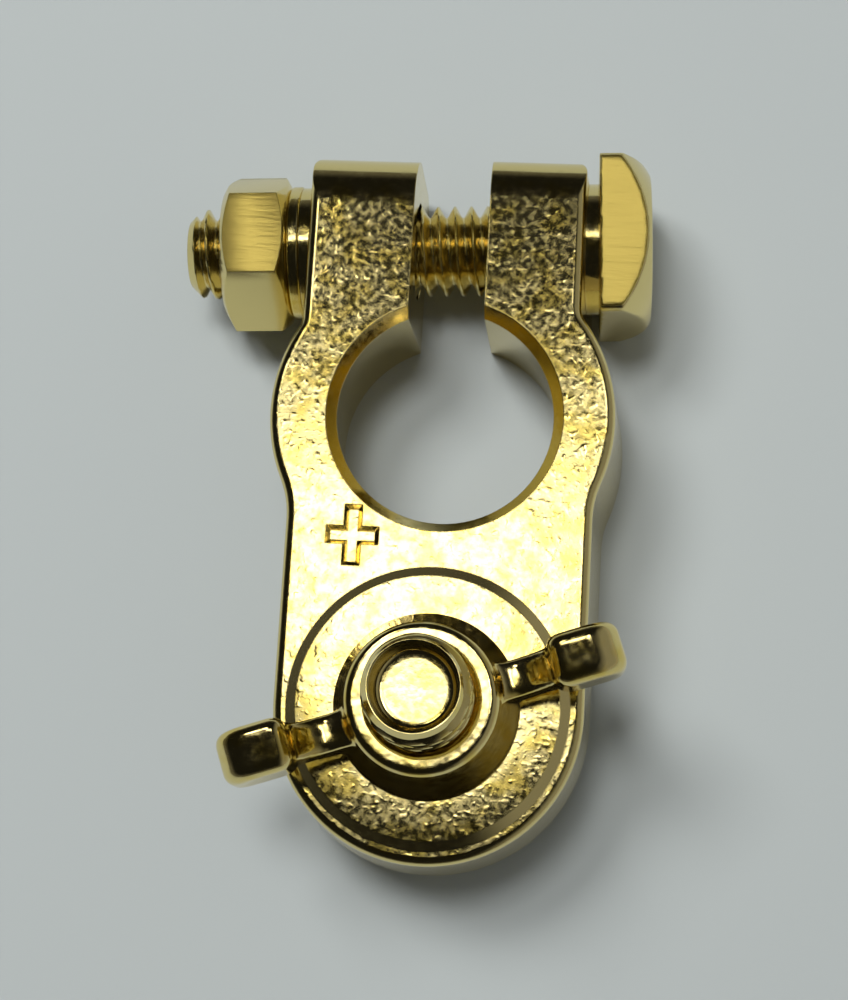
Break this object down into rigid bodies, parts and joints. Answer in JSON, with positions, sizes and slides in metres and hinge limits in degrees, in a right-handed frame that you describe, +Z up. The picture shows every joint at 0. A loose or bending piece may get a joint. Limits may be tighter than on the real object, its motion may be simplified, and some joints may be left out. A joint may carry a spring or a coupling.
{
  "type": "battery terminal clamp",
  "caption": "Cast clamp for a tapered battery post: a split ring with a pinch bolt and nut across its ears, and an upright threaded stud with a wing nut for the cable's ring.",
  "frame": {"origin": "on the post bore's axis, level with the underside of the ring", "axes": "+Z up along the post bore and the stud, +Y from the bore towards the split ears, +X towards the head of the pinch bolt"},
  "size_m": [0.0356, 0.0543, 0.0262],
  "materials": {
    "gold_cast": "gold-plated casting, finely pebbled and glossy",
    "gold_turned": "gold-plated, cut and rolled faces",
    "gold_wing": "gold-plated casting, smooth"
  },
  "bodies": {
    "clamp": {"clamp_body": "gold_cast", "terminal_stud": "gold_turned", "pinch_bolt": "gold_turned"},
    "wing": {"wing_nut": "gold_wing"},
    "washer": {"spring_washer": "gold_turned"},
    "nut": {"pinch_nut": "gold_turned"}
  },
  "joints": [
    {"name": "wing_nut_turn", "type": "hinge", "parent": "clamp", "child": "wing", "pos_m": [0, -0.0214, 0.01355], "axis": [0, 0, 1], "continuous": true},
    {"name": "nut_travel", "type": "slide", "parent": "clamp", "child": "washer", "axis": [-0.9989, -0.0471, 0], "range_m": [0, 0.00317]},
    {"name": "nut_turn", "type": "hinge", "parent": "washer", "child": "nut", "pos_m": [-0.01275, 0.0138, 0.0067], "axis": [-0.9989, -0.0471, 0], "range_deg": [0, 901]}
  ],
  "couplings": [
    {"joint": "nut_turn", "follows": "nut_travel", "rad_per_m": 4947.4}
  ]
}
